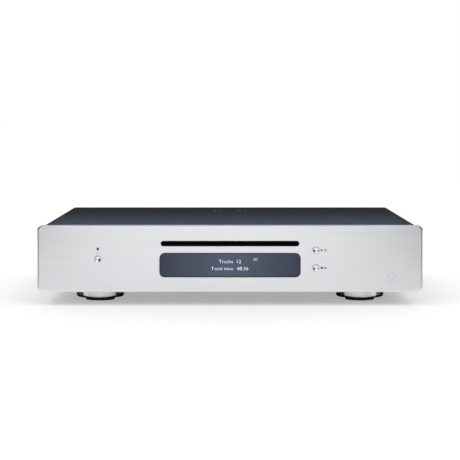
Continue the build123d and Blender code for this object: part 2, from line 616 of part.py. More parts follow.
SPINDLE = 1.0
PLATTER_LOW = 52.0
with BuildPart() as spindle_motor:
    rod((0, DISC_Y, TRAVERSE_Z + TRAVERSE_SHEET), Z_PLUS, 12, 4.4)
    fillet(faces().sort_by(Axis.Z)[-1].edges(), 0.8)
    rod((0, DISC_Y, 48), Z_PLUS, SPINDLE + RUNNING, 4, Mode.SUBTRACT)
save(spindle_motor, "spindle_motor")

with BuildPart() as turntable:
    rod((0, DISC_Y, PLATTER_LOW), Z_PLUS, 14.8, DISC_SEAT - PLATTER_LOW)
    # hub that centres the disc
    rod((0, DISC_Y, DISC_SEAT), Z_PLUS, 7.3, 1.6)
    chamfer(faces().sort_by(Axis.Z)[-1].edges(), 0.6)
    rod((0, DISC_Y, 48.5), Z_PLUS, SPINDLE, PLATTER_LOW - 48.5)
save(turntable, "turntable")

with BuildPart() as clamp_puck:
    # pressure disc with a hollow over the hub, neck through the arm, and cap on top
    rod((0, DISC_Y, PUCK_LOW), Z_PLUS, 14, 1.7)
    rod((0, DISC_Y, PUCK_LOW), Z_PLUS, 8.2, 0.9, Mode.SUBTRACT)
    rod((0, DISC_Y, PUCK_LOW + 1.7), Z_PLUS, 4, 2.4)
    rod((0, DISC_Y, PUCK_LOW + 4.1), Z_PLUS, 8, 1.2)
save(clamp_puck, "clamp_puck")

ARM_NARROW, ARM_WAIST, ARM_WIDE = 11.0, 16.0, 30.0
with BuildPart() as clamp_arm:
    with BuildSketch(Plane.XY.offset(ARM_LOW)):
        right_side = [(ARM_NARROW, DISC_Y), (ARM_WAIST, 8), (ARM_WIDE, 10), (ARM_WIDE, 18)]
        left_side = [(-x, y) for x, y in reversed(right_side)]
        Polygon(*right_side, *left_side, align=None)
        with Locations((0, DISC_Y)):
            Circle(13)
            Circle(5, mode=Mode.SUBTRACT)
        with Locations((0, -24)):
            SlotOverall(44, 8, rotation=90, mode=Mode.SUBTRACT)
    extrude(amount=ARM_HIGH - ARM_LOW)
    for side in (-1, 1):
        knuckle = (side * (ARM_WIDE - 4), side * ARM_WIDE)
        block(knuckle, around(ARM_HINGE[0], 3), around(ARM_HINGE[1], 2.5))
        rod((side * ARM_WIDE, *ARM_HINGE), (side, 0, 0), HINGE_PIN, LUG_WIDTH + 0.8)
save(clamp_arm, "clamp_arm")

SLED_Y = (-55.4, -35.0)
SLED_Z = (47.6, 51.2)
FOLLOWER_Y = (-50.0, -42.0)
LENS_PLACE = (0, -48, 52.2)
with BuildPart() as pickup_sled:
    block(around(0, 26), SLED_Y, SLED_Z)
    # follower on the lead screw, optical block below and lens mount on top
    block((SCREW_X - 5, -26), FOLLOWER_Y, (SLED_Z[0], 51.4))
    block(around(0, 14), (-54, -38), (43.6, SLED_Z[0]))
    block(around(0, 6), (-53, -43), (SLED_Z[1], LENS_PLACE[2]))
    for x in (-ROD_X, ROD_X):
        rod((x, SLED_Y[0], ROD_Z), Y_PLUS, M3 + RUNNING, 22, Mode.SUBTRACT)
    rod((SCREW_X, FOLLOWER_Y[0], ROD_Z), Y_PLUS, M3 + RUNNING, 8, Mode.SUBTRACT)
save(pickup_sled, "pickup_sled")

with BuildPart() as objective_lens:
    rod(LENS_PLACE, Z_PLUS, 2.2, 0.7)
    fillet(faces().sort_by(Axis.Z)[-1].edges(), 0.5)
save(objective_lens, "objective_lens")

SLED_MOTOR_Y = 9.8
with BuildPart() as lead_screw:
    rod((SCREW_X, -57.8, ROD_Z), Y_PLUS, M3, 67.2)
    rod((SCREW_X, -60.8, ROD_Z), Y_PLUS, MOTOR_SHAFT, 72.8)
save(lead_screw, "lead_screw")

with BuildPart() as sled_motor:
    rod((SCREW_X, SLED_MOTOR_Y, ROD_Z), Y_PLUS, 5.9, 11.4)
    fillet(faces().sort_by(Axis.Y)[-1].edges(), 0.8)
    rod((SCREW_X, SLED_MOTOR_Y, ROD_Z), Y_PLUS, MOTOR_SHAFT + RUNNING, 3, Mode.SUBTRACT)
save(sled_motor, "sled_motor")

# ---- disc loader ----
reach = math.dist(PIVOT, ROLLER)
rise = math.degrees(math.atan2(ROLLER[1] - PIVOT[1], ROLLER[0] - PIVOT[0]))
between = ((PIVOT[0] + ROLLER[0]) / 2, (PIVOT[1] + ROLLER[1]) / 2)


def pulley(axis):
    """The belt pulley on an axis: a groove between two rims."""
    rod((PULLEY_X, *axis), X_PLUS, PULLEY_GROOVE, PULLEY_WIDTH)
    for x in (PULLEY_X, PULLEY_X + PULLEY_WIDTH - PULLEY_WALL):
        rod((x, *axis), X_PLUS, PULLEY_RIM, PULLEY_WALL)


with BuildPart() as roller_bracket:
    for low, high in BRACKET_SIDES:
        with BuildSketch(sideways(low)) as arm:
            with Locations(between):
                SlotCenterToCenter(reach, 6.4, rotation=rise)
        extrude(arm.sketch, amount=high - low)
        rod((low, *ROLLER), X_PLUS, M3 + RUNNING, high - low, Mode.SUBTRACT)
    # cross bar and the two pivot pins
    block((BRACKET_SIDES[0][0], BRACKET_SIDES[1][1]), (-131, -121), (44.6, 45.8))
    rod((BRACKET_SIDES[0][0], *PIVOT), X_MINUS, M3, 10.7)
    rod((BRACKET_SIDES[1][1], *PIVOT), X_PLUS, M3, 3.9)
save(roller_bracket, "roller_bracket")

with BuildPart() as roller_shaft:
    rod((PULLEY_X - 1, *ROLLER), X_PLUS, M3, 146.8)
    pulley(ROLLER)
save(roller_shaft, "roller_shaft")

CONE_LENGTH, CONE_THIN, CONE_THICK = 56.0, 2.9, 3.5
with BuildPart() as feed_roller:
    # two rubber cones, so that only the disc's edges are gripped
    for direction in (X_PLUS, X_MINUS):
        with Locations(Plane(origin=(6.0 * direction[0], *ROLLER), z_dir=direction)):
            Cone(CONE_THIN, CONE_THICK, CONE_LENGTH, align=CENTRED_UP)
            Cylinder(M3 + 0.02, CONE_LENGTH, align=CENTRED_UP, mode=Mode.SUBTRACT)
save(feed_roller, "feed_roller")

with BuildPart() as loading_gear:
    with BuildSketch(sideways(GEAR_X, *PIVOT)):
        with BuildLine():
            Polyline(*gear_points(WHEEL_TEETH), close=True)
        make_face()
    extrude(amount=PULLEY_X - GEAR_X)
    pulley(PIVOT)
    rod((GEAR_X, *PIVOT), X_PLUS, M3 + RUNNING, 5, Mode.SUBTRACT)
save(loading_gear, "loading_gear")

with BuildPart() as motor_pinion:
    low, high = GEAR_X + 0.2, PULLEY_X - 0.2
    with BuildSketch(sideways(low, MOTOR_Y, PIVOT[1])):
        with BuildLine():
            Polyline(*gear_points(PINION_TEETH, turn=0.5), close=True)
        make_face()
    extrude(amount=high - low)
    rod((high, MOTOR_Y, PIVOT[1]), X_PLUS, MOTOR_SHAFT, 8.4)
save(motor_pinion, "motor_pinion")

with BuildPart() as roller_belt:
    inner = PULLEY_GROOVE + RUNNING
    with BuildSketch(sideways(PULLEY_X + (PULLEY_WIDTH - BELT_WIDTH) / 2)):
        with Locations(between):
            SlotCenterToCenter(reach, 2 * (inner + BELT), rotation=rise)
            SlotCenterToCenter(reach, 2 * inner, rotation=rise, mode=Mode.SUBTRACT)
    extrude(amount=BELT_WIDTH)
save(roller_belt, "roller_belt")

with BuildPart() as loading_motor:
    start = (-WALL_X + LOOSE, MOTOR_Y, PIVOT[1])
    rod(start, X_PLUS, LOADER_RADIUS, LOADER_LENGTH)
    fillet(faces().sort_by(Axis.X)[-1].edges(), 0.8)
    rod(start, X_PLUS, MOTOR_SHAFT + RUNNING, 4, Mode.SUBTRACT)
save(loading_motor, "loading_motor")

# ---- boards ----
with BuildPart() as inner_fixings:
    for x, y in STANDOFFS:
        rod((x, y, TRAY_TOP), Z_PLUS, PILLAR, BOARD_Z - TRAY_TOP)
    holes([(x, y, TRAY_TOP) for x, y in STANDOFFS], M3 + RUNNING, BOARD_Z - TRAY_TOP)
    screws = [(x, y, BOARD_TOP, 6.0) for x, y in STANDOFFS]
    screws += [(x, y, FLOOR_TOP, 9.0) for x, y in DAMPERS]
    screws += [(x, y, TRAY_TOP + STEEL, 3.0) for x, y in BRACKET_SCREWS]
    for x, y, z, length in screws:
        screw(Plane(origin=(x, y, z), z_dir=Z_PLUS), M3, length, M3_HEAD, M3_HEAD_HEIGHT)
    for x, z in FRONT_BOARD_SCREWS:
        seat = Plane(origin=(x, FACE_Y + BOARD_FRONT + BOARD, z), z_dir=Y_PLUS)
        screw(seat, M3, 4.6, M3_HEAD, M3_HEAD_HEIGHT)
save(inner_fixings, "inner_fixings")

# centre x, centre y, half size and height
CHIPS = ((-100, 85, 10, 1.4), (-40, 70, 12, 1.6), (-70, 112, 7, 1.4), (10, 90, 8, 1.4))
SMALL_CAPACITORS = [(-130, 60), (-130, 75), (-115, 60), (30, 110), (30, 124)]
with BuildPart() as main_board:
    block((-162, 58), (32, 146), (BOARD_Z, BOARD_TOP))
    for x, y, half_size, height in CHIPS:
        block(around(x, half_size), around(y, half_size), (BOARD_TOP, BOARD_TOP + height))
    # ribbon and drive connectors
    block((RIBBON_X[0] - 2, RIBBON_X[1] + 2), (33, 38), (BOARD_TOP, BOARD_TOP + 4))
    block((-20, 12), (36, 42), (BOARD_TOP, BOARD_TOP + 7))
    for x, y in SMALL_CAPACITORS:
        rod((x, y, BOARD_TOP), Z_PLUS, 5, 12)
    holes([(x, y, BOARD_Z) for x, y in MAIN_STANDOFFS], M3 + LOOSE, BOARD)
save(main_board, "main_board")

CAPACITORS = [(x, y) for x in (114, 134) for y in (-22, -42, -62)]
with BuildPart() as power_board:
    block((102, 162), (-88, 108), (BOARD_Z, BOARD_TOP))
    # mains terminal block, mains filter and output connector
    block((106, 120), (60, 86), (BOARD_TOP, BOARD_TOP + 12))
    block((134, 154), (60, 76), (BOARD_TOP, BOARD_TOP + 16))
    block((114, 140), (-84, -78), (BOARD_TOP, BOARD_TOP + 10))
    for x, y in CAPACITORS:
        rod((x, y, BOARD_TOP), Z_PLUS, 8.5, 30)
    fillet(faces().filter_by(Axis.Z).group_by(Axis.Z)[-1].edges(), 1.0)
    holes([(x, y, BOARD_Z) for x, y in POWER_STANDOFFS], M3 + LOOSE, BOARD)
save(power_board, "power_board")

CORE = (124.0, 24.0)  # transformer centre, as (x, y)
with BuildPart() as power_transformer:
    block(around(CORE[0], 20), around(CORE[1], 20), (BOARD_TOP + 4, BOARD_TOP + 32))
    # winding
    block(around(CORE[0], 15), around(CORE[1], 26), (BOARD_TOP, BOARD_TOP + 36))
    fillet(edges().filter_by(Axis.Z), 2.0)
save(power_transformer, "power_transformer")

FINS, FIN = 8, 2.0
SINK_X, SINK_Y = (149.0, 152.0, 161.0), (-6.0, 50.0)
with BuildPart() as heat_sink:
    height = (BOARD_TOP, BOARD_TOP + 34)
    block(SINK_X[:2], SINK_Y, height)
    pitch = (SINK_Y[1] - SINK_Y[0] - FIN) / (FINS - 1)
    for fin in range(FINS):
        y = SINK_Y[0] + fin * pitch
        block(SINK_X[1:], (y, y + FIN), height)
save(heat_sink, "heat_sink")

with BuildPart() as display_ribbon:
    with BuildSketch(sideways(RIBBON_X[0])):
        with BuildLine():
            FilletPolyline(
                (FACE_Y + BOARD_FRONT + BOARD + 3, 23.0),
                (-140, 23.0),
                (-134, TRAY_TOP + 0.8),
                (20, TRAY_TOP + 0.8),
                (24, BOARD_TOP + 2),
                (33, BOARD_TOP + 2),
                radius=2.5,
            )
        trace(line_width=0.4)
    extrude(amount=RIBBON_X[1] - RIBBON_X[0])
save(display_ribbon, "display_ribbon")

# ---- rear sockets ----
PHONO_COLLAR, COLLAR_LENGTH = 6.2, 1.3
PHONO_SHELL, PHONO_CONTACT, PHONO_DEPTH = 4.15, 1.65, 12.0
for name, (x, z) in PHONO_JACKS.items():
    with BuildPart() as jack:
        block(around(x, 6), (REAR_INNER - 13, REAR_INNER), (BOARD_TOP, z + 7))
        rod((x, REAR_INNER, z), Y_PLUS, PHONO_HOLE - 0.2, SHEET)
        rod((x, REAR_FACE, z), Y_PLUS, PHONO_COLLAR, COLLAR_LENGTH)
        rod((x, REAR_FACE + COLLAR_LENGTH, z), Y_PLUS, PHONO_SHELL, JACK_REACH - COLLAR_LENGTH)
        fillet(faces().sort_by(Axis.Y)[-1].edges(), 0.4)
        rod((x, REAR_FACE + JACK_REACH, z), Y_MINUS, PHONO_CONTACT, PHONO_DEPTH, Mode.SUBTRACT)
    save(jack, name)

SHUTTER_HINGE_Z = OPTICAL[1] + 4.4
SHUTTER_Y = REAR_FACE - 0.6
SHUTTER_PIN = 0.5
OPTICAL_PROUD = 1.5
with BuildPart() as optical_socket:
    x, z = OPTICAL
    half, cavity = 6.5, 4.8
    block(around(x, half), (REAR_INNER - 16, REAR_FACE + OPTICAL_PROUD), (BOARD_TOP, z + half))
    # the nose is square, the body behind it goes down to the board
    nose = (REAR_INNER - 0.2, REAR_FACE + OPTICAL_PROUD)
    block(around(x, half), nose, (BOARD_TOP, z - half), Mode.SUBTRACT)
    block(around(x, cavity), (REAR_FACE - 12, nose[1]), (z - cavity, z + 5.4), Mode.SUBTRACT)
    for side in (-1, 1):
        start = (x + side * cavity, SHUTTER_Y, SHUTTER_HINGE_Z)
        rod(start, (side, 0, 0), SHUTTER_PIN + RUNNING, 0.9, Mode.SUBTRACT)
save(optical_socket, "optical_socket")

with BuildPart() as optical_shutter:
    x, z = OPTICAL
    block(around(x, 4.6), around(SHUTTER_Y, SHUTTER_PIN), (z - 4.5, SHUTTER_HINGE_Z))
    rod((x - 5.5, SHUTTER_Y, SHUTTER_HINGE_Z), X_PLUS, SHUTTER_PIN, 11.0)
save(optical_shutter, "optical_shutter")

TRIGGER_BORE, TRIGGER_PROUD = 1.8, 1.2
with BuildPart() as trigger_jacks:
    for x, z in TRIGGER_JACKS:
        block(around(x, 5), (REAR_INNER - 14, REAR_INNER), (BOARD_TOP, z + 5))
        rod((x, REAR_INNER, z), Y_PLUS, TRIGGER_HOLE - 0.2, SHEET + TRIGGER_PROUD)
        rod((x, REAR_FACE, z), Y_PLUS, 3.9, 0.8)
        rod((x, REAR_FACE + TRIGGER_PROUD, z), Y_MINUS, TRIGGER_BORE, 14, Mode.SUBTRACT)
save(trigger_jacks, "trigger_jacks")

SHELL_WIDTH, SHELL_HEIGHT, SHELL_REACH, SHELL_WALL = 17.4, 9.0, 6.0, 0.6
CONTACT_PITCH, CONTACT_ROW = 2.76, 1.42
with BuildPart() as serial_port:
    x, z = SERIAL
    block(around(x, 15.5), (REAR_INNER - 10, REAR_INNER), (BOARD_TOP, z + 6.2))
    with BuildSketch(upright(REAR_INNER, x, z)) as shell:
        Trapezoid(SHELL_WIDTH, SHELL_HEIGHT, 80, rotation=180)
        fillet(vertices(), 1.6)
    extrude(shell.sketch, amount=-(SHEET + SHELL_REACH))
    with BuildSketch(upright(REAR_FACE + SHELL_REACH, x, z)) as inside:
        Trapezoid(SHELL_WIDTH - 2 * SHELL_WALL, SHELL_HEIGHT - 2 * SHELL_WALL, 80, rotation=180)
        fillet(vertices(), 1.2)
    extrude(inside.sketch, amount=5.6, mode=Mode.SUBTRACT)
    # contact pins in rows of five and four
    for row, count in ((CONTACT_ROW, 5), (-CONTACT_ROW, 4)):
        for pin in range(count):
            along = (pin - (count - 1) / 2) * CONTACT_PITCH
            rod((x + along, REAR_FACE + 0.2, z + row), Y_PLUS, 0.5, 4.8)
    # jack posts
    for dx in SERIAL_POSTS:
        rod((x + dx, REAR_INNER, z), Y_PLUS, 1.5, SHEET)
        with BuildSketch(upright(REAR_FACE, x + dx, z)) as post:
            RegularPolygon(2.4, 6, major_radius=False)
        extrude(post.sketch, amount=-5.0)
        rod((x + dx, REAR_FACE + 5, z), Y_MINUS, 1.2, 4.5, Mode.SUBTRACT)
save(serial_port, "serial_port")

INLET_PROUD = 2.4
with BuildPart() as mains_inlet:
    x, z = INLET
    block(around(x, 14), (REAR_FACE - 20, REAR_FACE), around(z, 10.2))
    with BuildSketch(upright(REAR_FACE, x, z)):
        RectangleRounded(31, 24, 1.5)
    extrude(amount=-INLET_PROUD)
    # cavity with its two upper corners cut off
    with BuildSketch(upright(REAR_FACE + INLET_PROUD, x, z)) as cavity:
        Rectangle(24.4, 16.6)
        chamfer(vertices().group_by(Axis.Y)[-1], 4.0)
    extrude(cavity.sketch, amount=17, mode=Mode.SUBTRACT)
save(mains_inlet, "mains_inlet")

INLET_PINS = ((-7.0, -2.0), (7.0, -2.0), (0.0, 2.0))  # live and neutral, and earth above
with BuildPart() as inlet_pins:
    for dx, dz in INLET_PINS:
        x, z = INLET[0] + dx, INLET[1] + dz
        block(around(x, 1), (REAR_FACE - 14.6, REAR_FACE), around(z, 2))
save(inlet_pins, "inlet_pins")

WELL = 5.6  # half-width of the well that the rocker turns in
ROCKER_HALF, ROCKER_PIN = 5.4, 1.2
with BuildPart() as power_switch_frame:
    x, z = SWITCH
    block(around(x, 6.5), (REAR_FACE - 15, REAR_FACE), around(z, 9.5))
    with BuildSketch(upright(REAR_FACE, x, z)):
        RectangleRounded(15.4, 21.4, 1.5)
    extrude(amount=-2.0)
    block(around(x, WELL), (REAR_FACE - 9, REAR_FACE + 2), around(z, 8.9), Mode.SUBTRACT)
    for side in (-1, 1):
        rod((x + side * WELL, ROCKER_Y, z), (side, 0, 0), ROCKER_PIN + RUNNING, 0.8, Mode.SUBTRACT)
save(power_switch_frame, "power_switch_frame")

with BuildPart() as power_rocker:
    x, z = SWITCH
    with BuildSketch(sideways(x - ROCKER_HALF, ROCKER_Y, z, tilt=-ROCKER_TILT)):
        with BuildLine():
            lower = [(-3.2, -6.4), (1.2, -8.3), (3.1, -8.1)]
            upper = [(depth, -height) for depth, height in reversed(lower)]
            Polyline(*lower, (2.2, 0), *upper, close=True)
        make_face()
    extrude(amount=2 * ROCKER_HALF)
    rod((x - 6.3, ROCKER_Y, z), X_PLUS, ROCKER_PIN, 12.6)
save(power_rocker, "power_rocker")
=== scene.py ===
"""Looks of the slot-loading CD player: finishes, printed marks, readout, studio and camera."""

import json
import math

import bmesh
import bpy
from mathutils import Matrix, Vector


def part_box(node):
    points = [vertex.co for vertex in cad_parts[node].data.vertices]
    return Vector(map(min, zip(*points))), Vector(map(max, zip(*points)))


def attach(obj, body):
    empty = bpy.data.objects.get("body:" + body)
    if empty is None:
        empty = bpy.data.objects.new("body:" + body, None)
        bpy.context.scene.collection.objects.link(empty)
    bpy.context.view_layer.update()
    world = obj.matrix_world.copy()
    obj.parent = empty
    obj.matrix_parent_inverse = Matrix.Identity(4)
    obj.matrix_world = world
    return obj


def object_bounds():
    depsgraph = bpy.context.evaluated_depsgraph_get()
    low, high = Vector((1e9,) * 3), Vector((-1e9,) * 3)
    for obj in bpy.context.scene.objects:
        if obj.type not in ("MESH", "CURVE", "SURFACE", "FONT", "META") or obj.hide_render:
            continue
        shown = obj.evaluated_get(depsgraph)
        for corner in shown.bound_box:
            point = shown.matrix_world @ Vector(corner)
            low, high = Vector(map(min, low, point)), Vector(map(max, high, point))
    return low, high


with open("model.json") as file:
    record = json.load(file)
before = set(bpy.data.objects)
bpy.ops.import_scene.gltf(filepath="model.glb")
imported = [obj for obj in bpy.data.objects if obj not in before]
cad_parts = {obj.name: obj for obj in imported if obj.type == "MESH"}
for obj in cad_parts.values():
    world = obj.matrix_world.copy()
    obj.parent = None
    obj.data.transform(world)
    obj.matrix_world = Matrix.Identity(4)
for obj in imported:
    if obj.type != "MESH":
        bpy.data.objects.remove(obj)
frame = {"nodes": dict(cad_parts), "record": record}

cad_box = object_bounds()

MM = 0.001
panel_low, panel_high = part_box("front_panel")
window_low, window_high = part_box("display_window")
cover_low, cover_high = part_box("top_cover")
board_low, board_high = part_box("main_board")
FACE = panel_low.y
BUTTONS = {name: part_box(name) for name in ("standby_button", "play_button", "stop_button")}
SLOTS = {part["node"]: part["material_slot"] for part in frame["record"]["subparts"]}


def middle(corners):
    return (corners[0] + corners[1]) / 2


# ---- shader helper ----
class Finish:
    """A Principled material whose pattern comes from object coordinates, in metres."""

    def __init__(self, name, colour, roughness, metallic=0.0, centre=(0, 0, 0), **uniform):
        self.material = bpy.data.materials.new(name)
        self.material.use_nodes = True
        self.tree = self.material.node_tree
        self.shader = self.tree.nodes["Principled BSDF"]
        self.shader.inputs["Base Color"].default_value = (*colour, 1)
        self.shader.inputs["Roughness"].default_value = roughness
        self.shader.inputs["Metallic"].default_value = metallic
        for socket, value in uniform.items():
            self.shader.inputs[socket.replace("_", " ")].default_value = value
        coordinates = self.node("ShaderNodeTexCoord")
        shift = self.node("ShaderNodeMapping")
        shift.inputs["Location"].default_value = [-value for value in centre]
        self.link(coordinates.outputs["Object"], shift.inputs["Vector"])
        self.place = shift.outputs["Vector"]

    def node(self, kind, **settings):
        made = self.tree.nodes.new(kind)
        for key, value in settings.items():
            setattr(made, key, value)
        return made

    def link(self, output, socket):
        self.tree.links.new(output, socket)

    def feed(self, socket, value):
        if isinstance(value, bpy.types.NodeSocket):
            self.link(value, socket)
        else:
            socket.default_value = value

    def maths(self, operation, *values, clamp=False):
        made = self.node("ShaderNodeMath", operation=operation, use_clamp=clamp)
        for socket, value in zip(made.inputs, values):
            self.feed(socket, value)
        return made.outputs[0]

    def mixture(self, first, share, second):
        """A share of the first pattern, and for the rest the second."""
        rest = self.maths("MULTIPLY", second, 1 - share)
        return self.maths("ADD", self.maths("MULTIPLY", first, share), rest)

    def axes(self):
        parts = self.node("ShaderNodeSeparateXYZ")
        self.link(self.place, parts.inputs[0])
        return parts.outputs

    def scaled(self, scale):
        mapping = self.node("ShaderNodeMapping")
        mapping.inputs["Scale"].default_value = scale
        self.link(self.place, mapping.inputs["Vector"])
        return mapping.outputs["Vector"]

    def noise(self, scale, detail, place=None):
        """Noise with that many cells per metre along each axis."""
        made = self.node("ShaderNodeTexNoise")
        made.inputs["Scale"].default_value = 1.0
        made.inputs["Detail"].default_value = detail
        self.link(place or self.scaled(scale), made.inputs["Vector"])
        return made.outputs["Fac"]

    def spread(self, value, low, high, start=0.3, end=0.7):
        """Maps start..end of a pattern to low..high."""
        made = self.node("ShaderNodeMapRange")
        for socket, number in zip(made.inputs, (value, start, end, low, high)):
            self.feed(socket, number)
        return made.outputs["Result"]

    def blend(self, factor, first, second):
        made = self.node("ShaderNodeMix", data_type="RGBA")
        self.feed(made.inputs["Factor"], factor)
        for socket, colour in ((made.inputs[6], first), (made.inputs[7], second)):
            self.feed(socket, colour if isinstance(colour, bpy.types.NodeSocket) else (*colour, 1))
        return made.outputs[2]

    def set(self, socket, value):
        self.feed(self.shader.inputs[socket], value)

    def bump(self, height, depth, strength):
        made = self.node("ShaderNodeBump")
        made.inputs["Strength"].default_value = strength
        made.inputs["Distance"].default_value = depth
        self.link(height, made.inputs["Height"])
        self.set("Normal", made.outputs["Normal"])


# ---- finishes ----
def brushed_aluminium():
    """Satin plate with long brush strokes along X."""
    finish = Finish("brushed_aluminium", (0.8, 0.8, 0.82), 0.34, 1.0, Anisotropic=0.55)
    fine = finish.noise((22, 7000, 7000), 3)
    broad = finish.noise((6, 900, 900), 2)
    cloud = finish.noise((14, 14, 14), 2)
    strokes = finish.mixture(fine, 0.6, broad)
    tone = finish.mixture(strokes, 0.85, cloud)
    light = finish.spread(tone, 0, 1)
    finish.set("Base Color", finish.blend(light, (0.77, 0.775, 0.8), (0.87, 0.87, 0.885)))
    finish.set("Roughness", finish.spread(strokes, 0.29, 0.40))
    finish.bump(strokes, 0.012 * MM, 0.5)
    across = finish.node("ShaderNodeCombineXYZ")
    for socket, value in zip(across.inputs, (0.02, 0.05, 1)):
        socket.default_value = value
    finish.set("Tangent", across.outputs[0])
    return finish.material


def turned_aluminium(name, centre, axis, roughness):
    """Bright metal with circular tool marks round an axis through centre."""
    finish = Finish(name, (0.8, 0.8, 0.81), roughness, 1.0, centre, Anisotropic=0.75)
    finish.shader.inputs["Anisotropic Rotation"].default_value = 0.25
    x, y, z = finish.axes()
    if axis == "Y":
        y, z = z, y
    squares = finish.maths("ADD", finish.maths("MULTIPLY", x, x), finish.maths("MULTIPLY", y, y))
    radius = finish.maths("SQRT", squares)
    spot = finish.node("ShaderNodeCombineXYZ")
    finish.link(finish.maths("MULTIPLY", radius, 9000), spot.inputs[0])
    finish.link(finish.maths("MULTIPLY", z, 9000), spot.inputs[1])
    marks = finish.noise(None, 3, spot.outputs[0])
    light = finish.spread(marks, 0, 1)
    finish.set("Base Color", finish.blend(light, (0.74, 0.74, 0.76), (0.84, 0.84, 0.85)))
    finish.set("Roughness", finish.spread(marks, roughness - 0.04, roughness + 0.06))
    finish.bump(marks, 0.006 * MM, 0.5)
    around = finish.node("ShaderNodeTangent", direction_type="RADIAL", axis=axis)
    finish.set("Tangent", around.outputs[0])
    return finish.material


def powder_coat(name, colour, lighter, roughness, painted_light_box=None):
    """Satin black paint with the fine orange peel of a baked powder coat. The last argument, if given, is
    the low and high corner of a region painted a lighter grey, a painted highlight standing in for the
    light its punched edges catch."""
    finish = Finish(name, colour, roughness, Specular_IOR_Level=0.22)
    peel = finish.noise((900, 900, 900), 3)
    grain = finish.noise((5200, 5200, 5200), 2)
    cloud = finish.noise((9, 9, 9), 3)
    tone = finish.spread(finish.maths("ADD", grain, cloud), 0, 1, 0.7, 1.3)
    paint = finish.blend(tone, colour, lighter)
    if painted_light_box:
        inside = 1.0
        for value, low, high in zip(finish.axes(), *painted_light_box):
            within = finish.maths("COMPARE", value, (low + high) / 2, (high - low) / 2)
            inside = finish.maths("MULTIPLY", inside, within)
        # painted highlight: inside the region the paint turns a lighter grey, standing in for the light the
        # punched edges catch
        paint = finish.blend(inside, paint, finish.blend(tone, (0.16, 0.18, 0.2), (0.24, 0.26, 0.28)))
    finish.set("Base Color", paint)
    finish.set("Roughness", finish.spread(grain, roughness - 0.05, roughness + 0.06))
    finish.bump(finish.maths("ADD", peel, finish.maths("MULTIPLY", grain, 0.5)), 0.03 * MM, 0.45)
    return finish.material


def window_acrylic():
    """Smoked window, its colour painted lighter in the middle as a painted glow, and darker along the
    inside of its edge as painted shade from the recess.
    """
    centre = middle((window_low, window_high))
    finish = Finish("window_acrylic", (0.06, 0.075, 0.1), 0.16, 0.0, centre, Specular_IOR_Level=0.3)
    x, y, z = finish.axes()
    half_x, half_z = 63.85 * MM, 10.95 * MM
    corner, edge_shade_width = 4.75 * MM, 0.9 * MM
    reach_x = finish.maths("SUBTRACT", finish.maths("ABSOLUTE", x), half_x - corner)
    reach_z = finish.maths("SUBTRACT", finish.maths("ABSOLUTE", z), half_z - corner)
    outside_x = finish.maths("MAXIMUM", reach_x, 0.0)
    outside_z = finish.maths("MAXIMUM", reach_z, 0.0)
    squares = [finish.maths("MULTIPLY", outside, outside) for outside in (outside_x, outside_z)]
    length = finish.maths("SQRT", finish.maths("ADD", *squares))
    inside = finish.maths("MINIMUM", finish.maths("MAXIMUM", reach_x, reach_z), 0.0)
    edge = finish.maths("SUBTRACT", finish.maths("ADD", length, inside), corner)
    # painted shade: the colour darkens along the inside of the edge, where the recess shades the window
    painted_edge_shade = finish.spread(edge, 0, 1, -edge_shade_width, -0.35 * edge_shade_width)
    # painted glow: the colour is lighter towards the middle, brightest within 5 mm of the centre
    glow = finish.spread(finish.maths("ABSOLUTE", x), 1, 0, 5 * MM, half_x)
    cloud = finish.noise((60, 60, 60), 3)
    unevenness = finish.maths("MULTIPLY", finish.maths("SUBTRACT", cloud, 0.5), 0.25)
    glow = finish.maths("ADD", glow, unevenness, clamp=True)
    pane = finish.blend(glow, (0.022, 0.031, 0.055), (0.062, 0.079, 0.122))
    finish.set("Base Color", finish.blend(painted_edge_shade, pane, (0.004, 0.006, 0.016)))
    finish.set("Roughness", finish.spread(finish.noise((400, 400, 400), 2), 0.14, 0.2))
    finish.bump(cloud, 0.004 * MM, 0.3)
    return finish.material


def readout_glow():
    """Pale blue-white lit segments, a little uneven."""
    finish = Finish("readout_glow", (0.7, 0.8, 0.95), 0.4, Emission_Strength=0.75)
    cell = finish.noise((2600, 2600, 2600), 1)
    lit = finish.spread(cell, 0, 1)
    finish.set("Emission Color", finish.blend(lit, (0.62, 0.74, 0.92), (0.9, 0.97, 1.0)))
    return finish.material


def moulded_plastic(name, colour, lighter, roughness=0.45):
    """Spark-eroded mould texture."""
    finish = Finish(name, colour, roughness)
    pits = finish.noise((2600, 2600, 2600), 4)
    cloud = finish.noise((40, 40, 40), 2)
    tone = finish.spread(finish.maths("ADD", pits, cloud), 0, 1, 0.7, 1.3)
    finish.set("Base Color", finish.blend(tone, colour, lighter))
    finish.set("Roughness", finish.spread(pits, roughness - 0.06, roughness + 0.1))
    finish.bump(pits, 0.02 * MM, 0.4)
    return finish.material


def rubber():
    finish = Finish("black_rubber", (0.012, 0.012, 0.013), 0.62, Specular_IOR_Level=0.3)
    bloom = finish.noise((120, 120, 120), 4)
    pores = finish.noise((3500, 3500, 3500), 2)
    tone = finish.spread(bloom, 0, 1)
    finish.set("Base Color", finish.blend(tone, (0.008, 0.008, 0.009), (0.022, 0.022, 0.024)))
    finish.set("Roughness", finish.spread(pores, 0.55, 0.75))
    finish.bump(pores, 0.03 * MM, 0.5)
    return finish.material


def felt():
    """Short-haired wiping felt along the slot."""
    finish = Finish("black_felt", (0.001, 0.0015, 0.003), 0.95, Specular_IOR_Level=0.05)
    hairs = finish.noise((2500, 900, 5000), 5)
    tone = finish.spread(hairs, 0, 1)
    finish.set("Base Color", finish.blend(tone, (0.0008, 0.001, 0.002), (0.002, 0.0028, 0.005)))
    finish.bump(hairs, 0.12 * MM, 0.9)
    return finish.material


